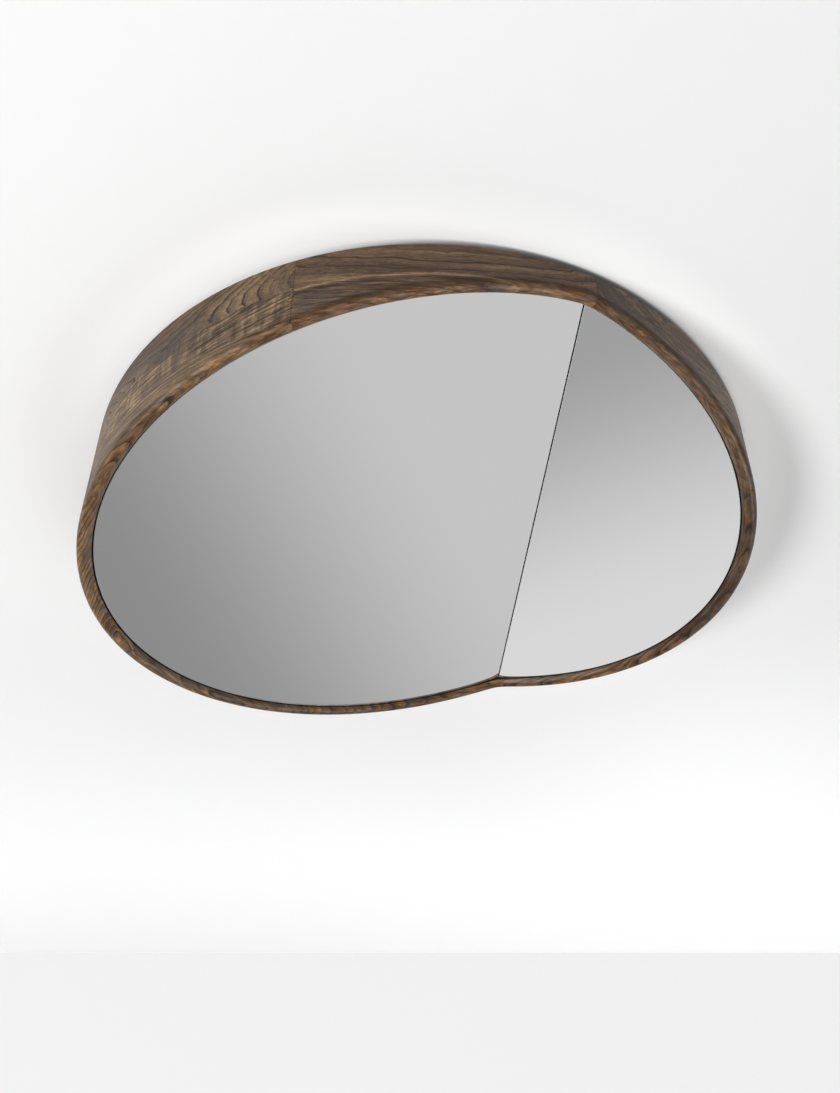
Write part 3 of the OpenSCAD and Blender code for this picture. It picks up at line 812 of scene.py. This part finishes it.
def wallPaint():
    # Seen from behind it is clear. Just behind the mirror it is also clear to the first bounce of
    # light, so that the mirror's back is lit in views from behind. A faint glow that only the camera and
    # reflections see makes the lower part white, as a backdrop. Near the rim and to the right the glow
    # is painted light, which softens the shade beside the rim and lifts the lamp's cast shadow.
    material, pen, surface = newMaterial("wall_paint", Roughness=0.9, Specular_IOR_Level=0.1,
                                         Emission_Strength=1.0)
    x, y, z = objectPlace(pen).xyz()
    up = z + ring["centreDrop"]
    away = (x * x + up * up).root()
    camera = rays(pen, "Is Camera Ray")
    later = rays(pen, "Ray Depth") > 1.5
    behind = pen.node("ShaderNodeNewGeometry", (), (), "Backfacing")
    clear = behind.atLeast((1 - (away > studio["open"])) * (1 - camera) * (1 - later))

    def sector(name):
        # The cosine of the angle to a direction, held above 0, to a power, times a strength
        rightward, upward, narrow, strength = studio[name]
        return (x / away * rightward + up / away * upward).atLeast(0.0) ** narrow * strength

    # Painted light: glow just outside the rim softens the shade there, and a wider band to the right
    # lifts the lamp's cast shadow
    above = away.near(*studio["rimBand"]) * (sector("rightGlow") + sector("leftGlow"))
    wide = away.near(*studio["sideBand"]) * sector("sideGlow")
    outside = (away + sector("startsEarlier")).rise(*studio["glowStarts"])
    low = (0 - up).rise(*studio["lowFrom"]) * (x.rise(*studio["lowAcross"]) + 1.0) * studio["lowGlow"]
    # Painted light: a round pool of glow that lifts the lamp's cast shadow on the right
    acrossPool, upPool, poolReach = studio["pool"]
    fromPool = ((x - acrossPool) * (x - acrossPool) + (up - upPool) * (up - upPool)).root()
    pool = (1 - fromPool.rise(0.0, poolReach)) * studio["poolGlow"]
    seen = camera.atLeast(rays(pen, "Is Glossy Ray").atLeast(rays(pen, "Is Transmission Ray")))
    glow = ((above + wide) * outside + low + pool + studio["glow"]) * seen
    # Painted shade: the wall's colour is darker on the strip that shows under the frame's back edge
    strip = (1 - away.rise(*studio["stripEnds"])) * sector("stripShade")
    level = objectPlace(pen).times(90, 90, 90).noise(3.0) * studio["mottle"] + studio["wall"]
    plug(surface, Base_Color=(level * (1 - strip)).grey(), Emission_Color=glow.grey())
    mixed = pen.node("ShaderNodeMixShader", (), {
        0: clear, 1: Wire(material.node_tree, surface.outputs[0]),
        2: pen.node("ShaderNodeBsdfTransparent")})
    material.node_tree.links.new(mixed.link, material.node_tree.nodes["Material Output"].inputs[0])
    return material


def floorPaint():
    # To the camera mostly one even pale level. The rest takes the object's shadow.
    material, pen, surface = newMaterial("floor_paint", Roughness=0.9, Specular_IOR_Level=0.1)
    level = objectPlace(pen).times(40, 40, 40).noise(3.0) * studio["mottle"] + studio["floor"]
    plug(surface, Base_Color=level.grey())
    even = pen.node("ShaderNodeEmission", (), {"Strength": studio["floorGlow"]})
    mixed = pen.node("ShaderNodeMixShader", (), {
        0: rays(pen, "Is Camera Ray") * studio["floorShare"],
        1: Wire(material.node_tree, surface.outputs[0]), 2: even})
    material.node_tree.links.new(mixed.link, material.node_tree.nodes["Material Output"].inputs[0])
    return material


def buildStage():
    low, half = studio["floorHeight"], studio["halfWidth"]
    top, front = studio["wallTop"], studio["floorFront"]
    upright = [(-half, 0, low), (half, 0, low), (half, 0, top), (-half, 0, top)]
    flat = [(-half, 0, low), (-half, front, low), (half, front, low), (half, 0, low)]
    plane("stage_wall", upright, wallPaint())
    floor = plane("stage_floor", flat, floorPaint())
    floor.visible_glossy = False


def buildWorld():
    # White to the camera, a plain level for soft light, and for mirror reflections two smooth ramps over
    # the direction, as a dim room with one bright side gives
    world = bpy.data.worlds.new("studio")
    bpy.context.scene.world = world
    world.use_nodes = True
    pen = Wire(world.node_tree)
    direction = pen.node("ShaderNodeTexCoord", (), (), "Generated")

    def sees(axis, low, high, dim, bright):
        return (direction.dot(axis).rise(low, high) * (bright - dim) + dim) / pane["silver"][1]

    # Each pane sends its reflections to its own side of the room
    x, y = direction.xyz()[:2]
    left, right = sees(*studio["leftSees"]), sees(*studio["rightSees"])
    mirrored = right + (left - right) * (x / abs(y).atLeast(0.01)).rise(-0.08, -0.01)
    lobe = direction.dot(studio["fillToward"]).atLeast(0.0) ** studio["fillSharp"]
    soft = studio["fillLow"] + lobe * studio["fillLobe"]
    soft = soft + y.rise(0.0, 0.4) * (studio["fillBehind"] - studio["fillLow"])
    camera, glossy = rays(pen, "Is Camera Ray"), rays(pen, "Is Glossy Ray")
    level = soft + glossy * (mirrored - soft)
    level = level + camera * (1 - level)
    # The soft light from the sides is a little cooler
    ahead = (0 - y).atLeast(0.0)
    grazing = (1 - ahead.rise(0.0, 0.5)) * (1 - y.rise(0.0, 0.3)) * (1 - camera) * (1 - glossy)
    back = world.node_tree.nodes["Background"]
    world.node_tree.links.new(grazing.mix((1, 1, 1, 1), studio["cool"]).link, back.inputs["Color"])
    world.node_tree.links.new(level.link, back.inputs["Strength"])


def buildLamps():
    # A large soft lamp to the left, in front and above, and a tall narrow one that draws the pale line
    # along the nose on the right
    for name, (toward, away, (width, height), power, shineOnly) in studio["lamps"].items():
        data = bpy.data.lights.new(name, "AREA")
        data.shape = "ELLIPSE" if width == height else "RECTANGLE"
        data.size, data.size_y = width, height
        data.energy = power
        lamp = bpy.data.objects.new(name, data)
        bpy.context.scene.collection.objects.link(lamp)
        toLamp = Vector(toward).normalized()
        lamp.location = Vector(studio["lampAim"]) + toLamp * away
        lamp.rotation_euler = (-toLamp).to_track_quat("-Z", "Y").to_euler()
        lamp.visible_diffuse = not shineOnly


def buildCamera():
    data = bpy.data.cameras.new("camera")
    data.lens = studio["lens"]
    data.sensor_width = studio["sensor"]
    camera = bpy.data.objects.new("camera", data)
    bpy.context.scene.collection.objects.link(camera)
    pitch = math.radians(studio["cameraPitch"])
    back = Vector((0, -math.cos(pitch), math.sin(pitch)))
    camera.location = Vector(studio["cameraAim"]) + back * studio["cameraAway"]
    camera.rotation_euler = (-back).to_track_quat("-Z", "Y").to_euler()
    bpy.context.scene.camera = camera


buildStage()
buildWorld()
buildLamps()
buildCamera()
bpy.context.scene.view_settings.view_transform = "Standard"
print("stage, lights and camera")
